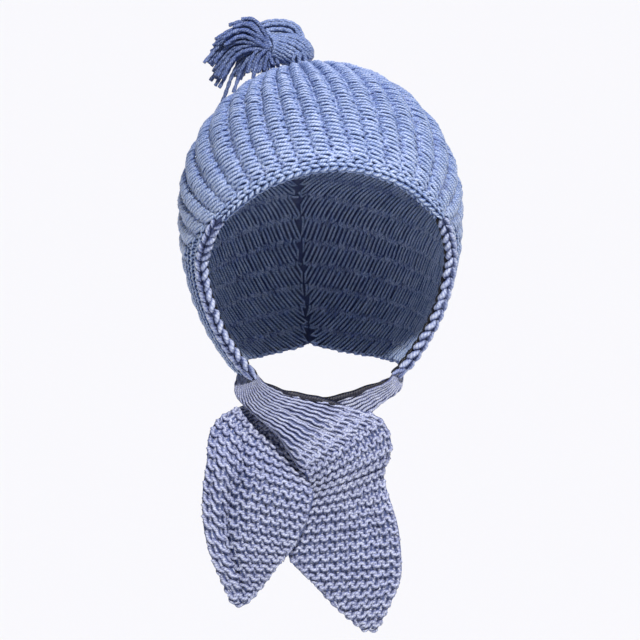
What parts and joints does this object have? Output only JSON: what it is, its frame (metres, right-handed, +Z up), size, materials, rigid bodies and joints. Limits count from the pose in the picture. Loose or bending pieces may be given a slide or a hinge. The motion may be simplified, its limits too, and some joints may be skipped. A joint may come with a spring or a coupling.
{
  "type": "knitted child's bonnet",
  "caption": "Hand-knitted child's bonnet with a ribbed hood, a tasselled crown and two scarf ends that cross under the chin.",
  "frame": {"origin": "the top of the hollow inside the crown, where the crown of the head sits", "axes": "+Z up, the face opening towards -Y, +X to the right of a viewer who looks at the face"},
  "size_m": [0.1573, 0.1675, 0.3287],
  "materials": {
    "hood_yarn": "plied wool yarn in garter ribs, periwinkle blue",
    "edging_yarn": "plied wool yarn, firm edging, pale periwinkle",
    "scarf_yarn": "plied wool yarn in garter stitch, lavender blue",
    "tassel_yarn": "loose plied yarn, deeper blue"
  },
  "bodies": {
    "root": {"hood": "hood_yarn", "face_edging": "edging_yarn", "scarf_end_right": "scarf_yarn", "scarf_end_left": "scarf_yarn", "tassel": "tassel_yarn"}
  },
  "joints": []
}
